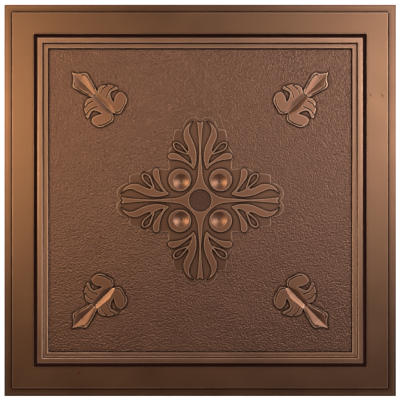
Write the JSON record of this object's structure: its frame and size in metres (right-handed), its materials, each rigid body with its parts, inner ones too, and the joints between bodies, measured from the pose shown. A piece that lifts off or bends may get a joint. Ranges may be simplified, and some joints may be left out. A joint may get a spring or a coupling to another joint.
{
  "type": "vinyl ceiling tile",
  "caption": "Square lay-in ceiling tile pressed from one vinyl sheet: flat flange, raised border, moulded frame, and a textured panel with a rosette and corner fleurs.",
  "frame": {"origin": "centre of the tile, on the plane of the flange's back", "axes": "+Z out of the decorated face, X and Y along the tile's edges"},
  "size_m": [0.6032, 0.6032, 0.0118],
  "materials": {
    "bronze_vinyl": "satin metallic bronze, pebble grain on the panel"
  },
  "bodies": {
    "root": {"ceiling_tile": "bronze_vinyl"}
  },
  "joints": []
}
